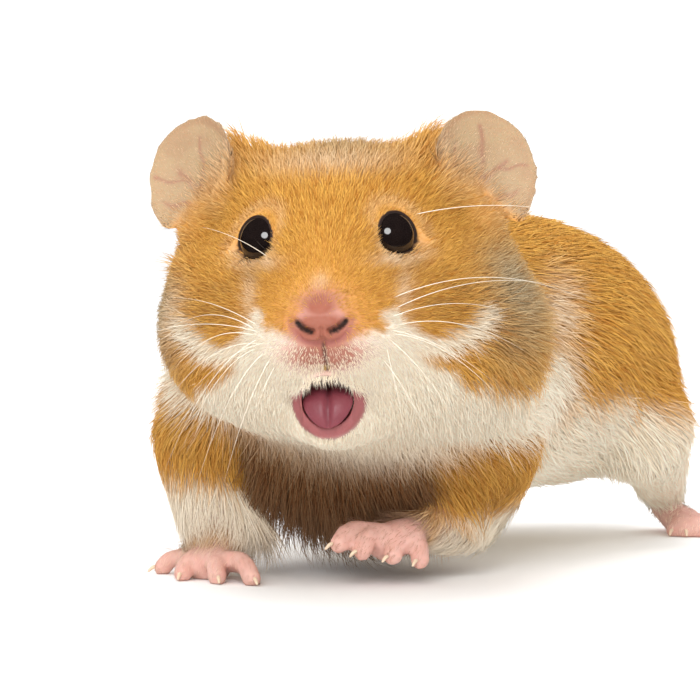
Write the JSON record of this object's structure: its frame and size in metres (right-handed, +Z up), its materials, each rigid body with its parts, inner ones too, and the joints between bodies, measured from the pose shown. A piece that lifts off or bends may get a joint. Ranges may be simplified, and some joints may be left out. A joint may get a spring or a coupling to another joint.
{
  "type": "syrian hamster",
  "caption": "Life-size golden hamster walking with its head turned, its mouth open and one forepaw raised, a still model with no joints.",
  "frame": {"origin": "on the floor, under the middle of the whole animal", "axes": "+Z up, the trunk along Y with the nose towards -Y and the tail towards +Y, +X on the animal's left"},
  "size_m": [0.0644, 0.1418, 0.0666],
  "materials": {
    "golden_coat": "short dense golden orange fur with grey bases",
    "white_coat": "soft ivory white fur",
    "bare_skin": "bare pink skin, finely creased",
    "ear_skin": "thin tan skin with pink veins and a fuzzy rim",
    "mouth_skin": "moist rose tongue",
    "eye_black": "wet black eyeball",
    "tooth_enamel": "yellow orange incisor enamel",
    "claw_horn": "pale translucent claws"
  },
  "bodies": {
    "root": {"upper_arm_right": "golden_coat", "forearm_right": "white_coat", "forepaw_right": "bare_skin", "foreclaw_right_1": "claw_horn", "foreclaw_right_2": "claw_horn", "foreclaw_right_3": "claw_horn", "foreclaw_right_4": "claw_horn", "thigh_right": "golden_coat", "shank_right": "white_coat", "hind_foot_right": "bare_skin", "hindclaw_right_1": "claw_horn", "hindclaw_right_2": "claw_horn", "hindclaw_right_3": "claw_horn", "hindclaw_right_4": "claw_horn", "hindclaw_right_5": "claw_horn", "ear_right": "ear_skin", "eye_right": "eye_black", "upper_arm_left": "golden_coat", "forearm_left": "white_coat", "forepaw_left": "bare_skin", "foreclaw_left_1": "claw_horn", "foreclaw_left_2": "claw_horn", "foreclaw_left_3": "claw_horn", "foreclaw_left_4": "claw_horn", "thigh_left": "golden_coat", "shank_left": "white_coat", "hind_foot_left": "bare_skin", "hindclaw_left_1": "claw_horn", "hindclaw_left_2": "claw_horn", "hindclaw_left_3": "claw_horn", "hindclaw_left_4": "claw_horn", "hindclaw_left_5": "claw_horn", "ear_left": "ear_skin", "eye_left": "eye_black", "head": "golden_coat", "jaw": "white_coat", "nose": "bare_skin", "tongue": "mouth_skin", "upper_incisors": "tooth_enamel", "neck": "golden_coat", "trunk": "golden_coat", "tail": "bare_skin"}
  },
  "joints": []
}
